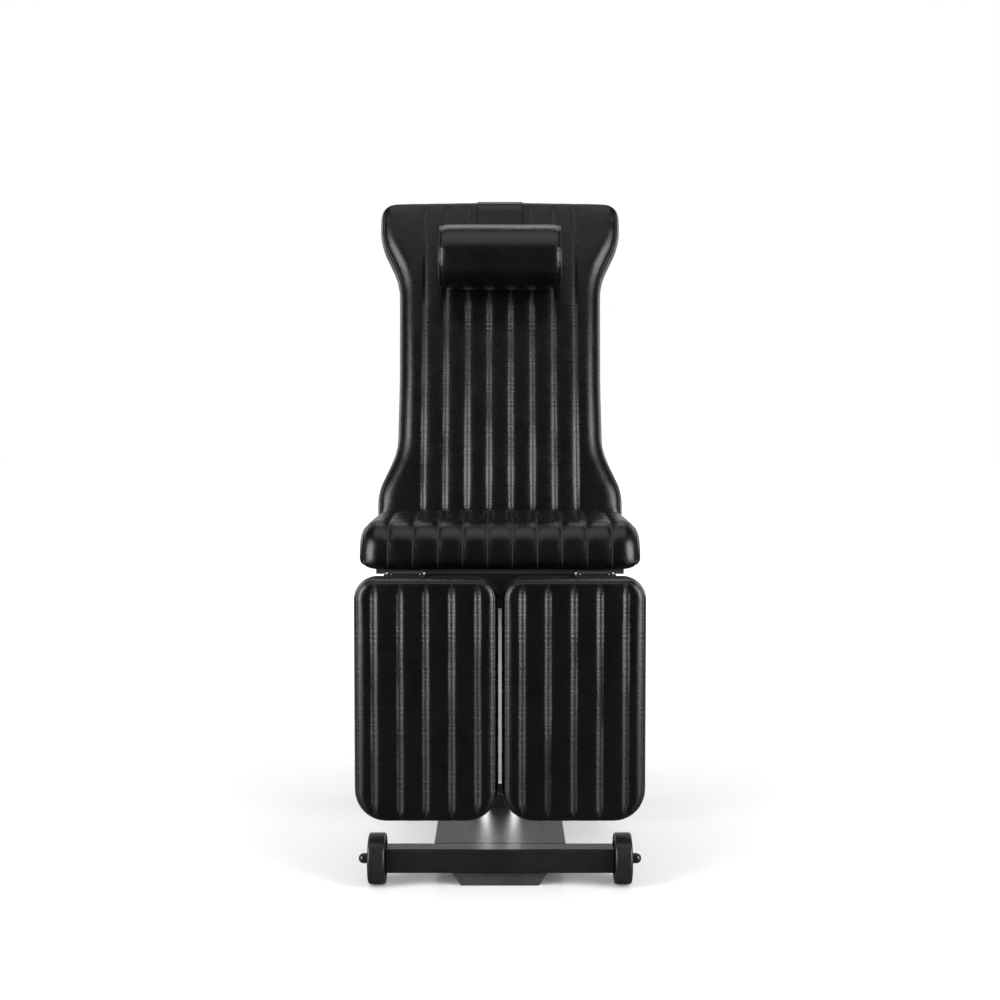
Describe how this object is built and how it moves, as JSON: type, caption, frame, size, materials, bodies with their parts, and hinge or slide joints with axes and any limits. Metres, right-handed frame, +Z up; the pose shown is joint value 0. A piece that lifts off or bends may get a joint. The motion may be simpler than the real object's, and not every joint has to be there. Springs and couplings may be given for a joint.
{
  "type": "tattoo chair",
  "caption": "Tattoo chair with a channel-sewn seat, flared reclining back, sliding headrest bolster and two leg rests on a foot-pumped swivel column with a wheeled steel base.",
  "frame": {"origin": "on the floor under the column, on the swivel axis", "axes": "+Z up, the chair faces -Y, +X is on the right seen from the front"},
  "size_m": [0.599, 0.8585, 1.5139],
  "materials": {
    "upholstery": "black coated leather-look cover over foam, satin, fine grain, sewn channels",
    "strap_webbing": "black leather-look strap",
    "black_steel": "black satin powder coat",
    "chrome": "polished plating",
    "zinc_steel": "zinc plated",
    "strut_black": "smooth black enamel",
    "wheel_rubber": "glossy hard black tread",
    "wheel_plastic": "gloss black moulding",
    "foot_rubber": "matt black rubber",
    "painted_wood": "black-stained plywood"
  },
  "bodies": {
    "base": {"base_plate": "black_steel", "base_side_flanges": "black_steel", "front_crossbar": "black_steel", "rear_crossbar": "black_steel", "crossbar_end_plates": "black_steel", "front_foot_pad": "foot_rubber", "rear_foot_studs": "zinc_steel", "rear_foot_pads": "foot_rubber", "wheel_axle_bolts": "zinc_steel", "axle_dome_nuts": "chrome", "pump_flange_bolts": "zinc_steel", "pump_cylinder": "zinc_steel", "cylinder_gland": "zinc_steel", "lower_sleeve": "chrome", "pump_skirt": "chrome", "pedal_bracket": "black_steel", "pedal_pivot_pin": "zinc_steel"},
    "wheel_left": {"wheel_left_tyre": "wheel_rubber", "wheel_left_hub": "wheel_plastic"},
    "wheel_right": {"wheel_right_tyre": "wheel_rubber", "wheel_right_hub": "wheel_plastic"},
    "pedal": {"pedal_lever": "black_steel", "pedal_pad": "foot_rubber"},
    "lift_column": {"pump_ram": "chrome", "pump_piston": "zinc_steel", "upper_sleeve": "chrome", "turntable_lower": "black_steel", "turntable_bearing": "zinc_steel"},
    "seat": {"turntable_upper": "black_steel", "turntable_shroud": "black_steel", "seat_frame": "black_steel", "strut_pins": "zinc_steel", "seat_board": "painted_wood", "seat_board_bolts": "zinc_steel", "seat_cushion": "upholstery", "lever_pins": "zinc_steel", "leg_hinge_pins": "zinc_steel", "back_hinge_pins": "zinc_steel", "hinge_ears": "black_steel"},
    "backrest": {"back_frame": "black_steel", "back_board": "painted_wood", "back_cushion": "upholstery", "headrest_strap": "strap_webbing", "strap_clamp_plate": "black_steel"},
    "headrest": {"headrest_bolster": "upholstery"},
    "leg_left": {"leg_left_cushion": "upholstery", "leg_left_board": "painted_wood", "leg_left_bracket": "black_steel"},
    "leg_right": {"leg_right_cushion": "upholstery", "leg_right_board": "painted_wood", "leg_right_bracket": "black_steel"},
    "recline_handle": {"recline_lever": "black_steel"},
    "leg_left_handle": {"leg_left_lever": "black_steel"},
    "leg_right_handle": {"leg_right_lever": "black_steel"},
    "back_strut_body": {"back_strut_cylinder": "strut_black"},
    "back_strut_plunger": {"back_strut_rod": "chrome"},
    "leg_left_strut_body": {"leg_left_strut_cylinder": "strut_black"},
    "leg_left_strut_plunger": {"leg_left_strut_rod": "chrome"},
    "leg_right_strut_body": {"leg_right_strut_cylinder": "strut_black"},
    "leg_right_strut_plunger": {"leg_right_strut_rod": "chrome"}
  },
  "joints": [
    {"name": "lift", "type": "slide", "parent": "base", "child": "lift_column", "axis": [0, 0, 1], "range_m": [0, 0.16]},
    {"name": "swivel", "type": "hinge", "parent": "lift_column", "child": "seat", "pos_m": [0, 0, 0.56], "axis": [0, 0, 1], "continuous": true},
    {"name": "wheel_left_spin", "type": "hinge", "parent": "base", "child": "wheel_left", "pos_m": [-0.255, -0.379, 0.054], "axis": [1, 0, 0], "continuous": true},
    {"name": "wheel_right_spin", "type": "hinge", "parent": "base", "child": "wheel_right", "pos_m": [0.255, -0.379, 0.054], "axis": [1, 0, 0], "continuous": true},
    {"name": "pedal_pivot", "type": "hinge", "parent": "base", "child": "pedal", "pos_m": [0.096, 0.04, 0.104], "axis": [0, 1, 0], "range_deg": [0, 14], "stiffness_Nm_per_rad": 8, "springref_deg": -22.92},
    {"name": "recline", "type": "hinge", "parent": "seat", "child": "backrest", "pos_m": [0, 0.1276, 0.66], "axis": [-1, 0, 0], "range_deg": [0, 75]},
    {"name": "headrest_slide", "type": "slide", "parent": "backrest", "child": "headrest", "axis": [0, 0.2588, 0.9659], "range_m": [-0.08, 0.03]},
    {"name": "recline_lever_pivot", "type": "hinge", "parent": "seat", "child": "recline_handle", "pos_m": [0.262, 0.04, 0.586], "axis": [-1, 0, 0], "range_deg": [0, 15], "stiffness_Nm_per_rad": 2, "springref_deg": -17.19},
    {"name": "leg_left_hinge", "type": "hinge", "parent": "seat", "child": "leg_left", "pos_m": [-0.202, -0.34, 0.64], "axis": [-1, 0, 0], "range_deg": [0, 90]},
    {"name": "leg_left_lever_pivot", "type": "hinge", "parent": "seat", "child": "leg_left_handle", "pos_m": [-0.262, -0.11, 0.586], "axis": [-1, 0, 0], "range_deg": [0, 15], "stiffness_Nm_per_rad": 2, "springref_deg": -17.19},
    {"name": "leg_left_strut_swing", "type": "hinge", "parent": "seat", "child": "leg_left_strut_body", "pos_m": [-0.185, -0.08, 0.545], "axis": [1, 0, 0], "range_deg": [-24, 0.5]},
    {"name": "leg_left_strut_slide", "type": "slide", "parent": "leg_left_strut_body", "child": "leg_left_strut_plunger", "axis": [0, -0.9743, -0.2252], "range_m": [-0.001, 0.174]},
    {"name": "leg_right_hinge", "type": "hinge", "parent": "seat", "child": "leg_right", "pos_m": [0.202, -0.34, 0.64], "axis": [-1, 0, 0], "range_deg": [0, 90]},
    {"name": "leg_right_lever_pivot", "type": "hinge", "parent": "seat", "child": "leg_right_handle", "pos_m": [0.262, -0.11, 0.586], "axis": [-1, 0, 0], "range_deg": [0, 15], "stiffness_Nm_per_rad": 2, "springref_deg": -17.19},
    {"name": "leg_right_strut_swing", "type": "hinge", "parent": "seat", "child": "leg_right_strut_body", "pos_m": [0.185, -0.08, 0.545], "axis": [1, 0, 0], "range_deg": [-24, 0.5]},
    {"name": "leg_right_strut_slide", "type": "slide", "parent": "leg_right_strut_body", "child": "leg_right_strut_plunger", "axis": [0, -0.9743, -0.2252], "range_m": [-0.001, 0.174]},
    {"name": "back_strut_swing", "type": "hinge", "parent": "seat", "child": "back_strut_body", "pos_m": [0.13, -0.2, 0.56], "axis": [1, 0, 0], "range_deg": [-0.5, 5]},
    {"name": "back_strut_slide", "type": "slide", "parent": "back_strut_body", "child": "back_strut_plunger", "axis": [0, 0.9978, 0.0669], "range_m": [-0.106, 0.001]}
  ],
  "couplings": [
    {"joint": "leg_left_strut_swing", "follows": "leg_left_hinge", "ratio": -0.25675},
    {"joint": "leg_left_strut_slide", "follows": "leg_left_hinge", "m_per_rad": 0.10961},
    {"joint": "leg_right_strut_swing", "follows": "leg_right_hinge", "ratio": -0.25675},
    {"joint": "leg_right_strut_slide", "follows": "leg_right_hinge", "m_per_rad": 0.10961},
    {"joint": "back_strut_swing", "follows": "recline", "ratio": 0.054433},
    {"joint": "back_strut_slide", "follows": "recline", "m_per_rad": -0.0795}
  ]
}
